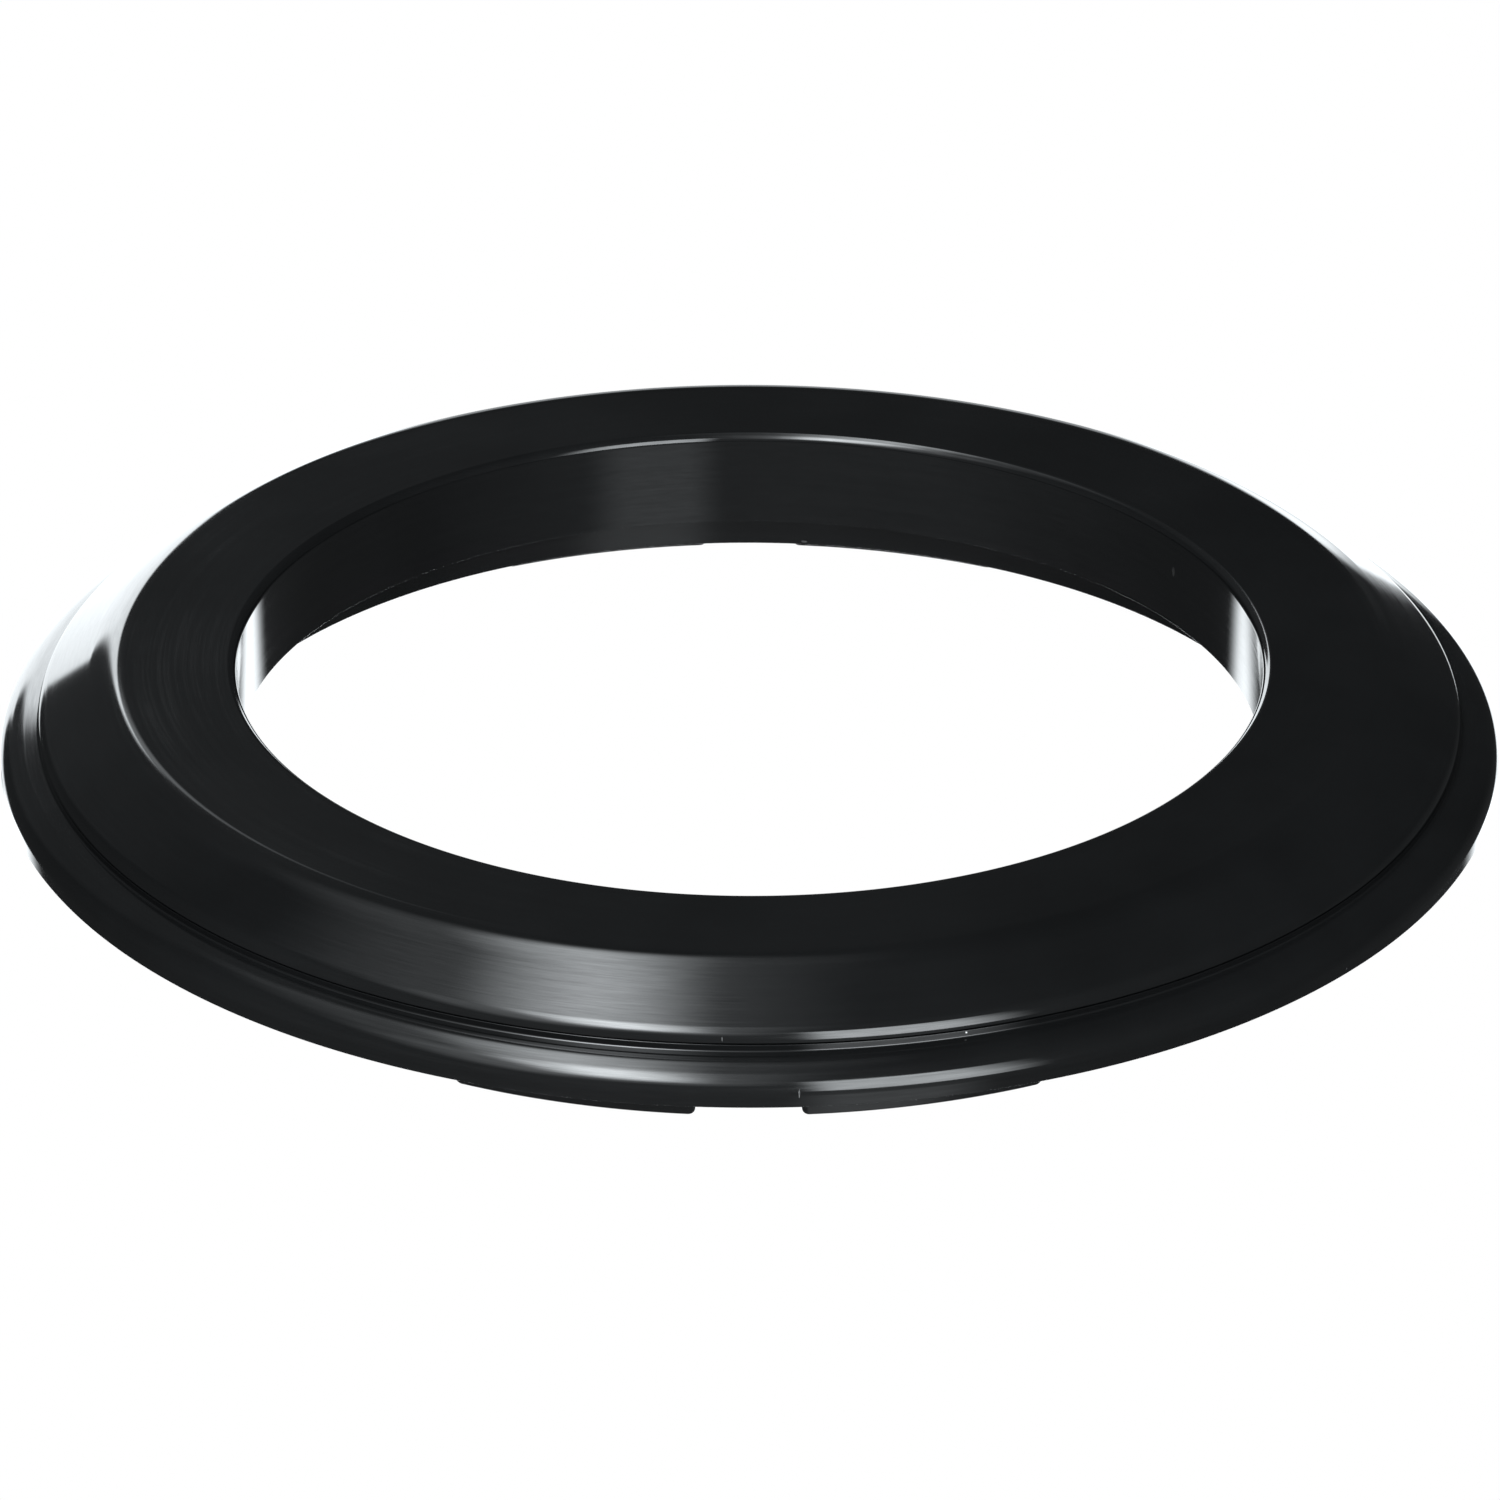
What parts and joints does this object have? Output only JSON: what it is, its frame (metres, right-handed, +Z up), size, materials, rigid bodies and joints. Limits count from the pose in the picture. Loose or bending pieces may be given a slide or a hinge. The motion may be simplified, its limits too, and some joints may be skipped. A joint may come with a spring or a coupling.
{
  "type": "twist-lock mounting ring",
  "caption": "Black moulded twist-lock ring with flat top, conical flank, round rim, smooth bore and bayonet lugs under the rim, for hanging a kitchen garbage disposal.",
  "frame": {"origin": "centre of the plane that the lugs stand on, on the ring's axis", "axes": "+Z up along the ring's axis, from the lugs to the flat top; +X passes through a gap between two lugs"},
  "size_m": [0.1672, 0.1672, 0.0187],
  "materials": {
    "cover_plastic": "deep black gloss with fine turning marks round the cone",
    "rim_plastic": "deep black gloss",
    "collar_plastic": "black, moulded, slightly less glossy than the cover",
    "spring_steel": "bright spring steel",
    "seal_rubber": "matt black rubber"
  },
  "bodies": {
    "cover": {"cover_ring": "cover_plastic", "snap_ring": "spring_steel"},
    "lock_ring": {"rim_ring": "rim_plastic", "lug_collar": "collar_plastic", "seal_ring": "seal_rubber"}
  },
  "joints": [
    {"name": "twist_lock", "type": "hinge", "parent": "cover", "child": "lock_ring", "pos_m": [0, 0, 0.0126], "axis": [0, 0, 1], "range_deg": [0, 15]}
  ]
}
